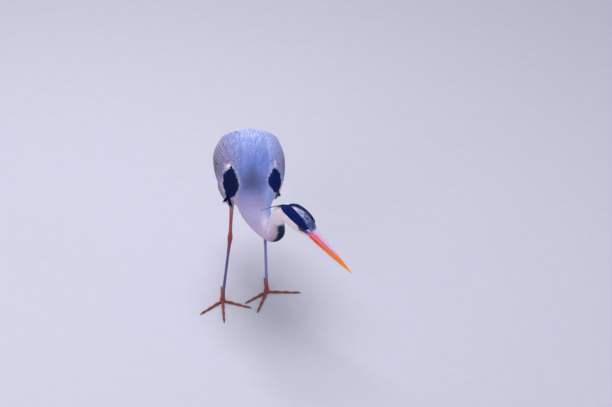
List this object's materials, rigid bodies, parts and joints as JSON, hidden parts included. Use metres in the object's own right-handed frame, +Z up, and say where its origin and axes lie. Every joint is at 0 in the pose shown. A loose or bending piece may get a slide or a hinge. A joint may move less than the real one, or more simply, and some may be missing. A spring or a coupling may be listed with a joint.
{
  "type": "grey heron",
  "caption": "Life-size standing grey heron that peers down to its left: long dagger bill, folded neck, folded wings, slim legs and spread toes on the floor.",
  "frame": {"origin": "on the floor, under the middle of the bird's box", "axes": "+Z up; the bird faces -Y and its tail points to +Y; its left side is +X"},
  "size_m": [0.3002, 0.6106, 0.3998],
  "materials": {
    "plumage_grey": "soft layered blue-grey feathers",
    "plumage_white": "soft white and pale grey feathers, streaked black on the foreneck",
    "plumage_black": "soft blue-black feathers",
    "bill_horn": "smooth horn, pink at the base and orange to yellow at the tip",
    "iris": "wet, glossy",
    "leg_skin": "scaly bare skin, mauve-brown with a redder hock and toes",
    "claw_horn": "dark satin horn"
  },
  "bodies": {
    "root": {"torso": "plumage_grey", "neck_lower": "plumage_white", "neck_bend": "plumage_white", "neck_upper": "plumage_white", "tail": "plumage_grey", "head": "plumage_white", "bill_upper": "bill_horn", "bill_lower": "bill_horn", "eye_left": "iris", "eye_right": "iris", "crest_left": "plumage_black", "crest_right": "plumage_black", "wing_left": "plumage_grey", "wing_right": "plumage_grey", "thigh_left": "plumage_white", "thigh_right": "plumage_white", "shin_left": "leg_skin", "shin_right": "leg_skin", "tarsus_left": "leg_skin", "tarsus_right": "leg_skin", "foot_left": "leg_skin", "foot_right": "leg_skin", "toe_left_inner": "leg_skin", "toe_left_middle": "leg_skin", "toe_left_outer": "leg_skin", "toe_left_hind": "leg_skin", "toe_right_inner": "leg_skin", "toe_right_middle": "leg_skin", "toe_right_outer": "leg_skin", "toe_right_hind": "leg_skin", "claw_left_inner": "claw_horn", "claw_left_middle": "claw_horn", "claw_left_outer": "claw_horn", "claw_left_hind": "claw_horn", "claw_right_inner": "claw_horn", "claw_right_middle": "claw_horn", "claw_right_outer": "claw_horn", "claw_right_hind": "claw_horn"}
  },
  "joints": []
}
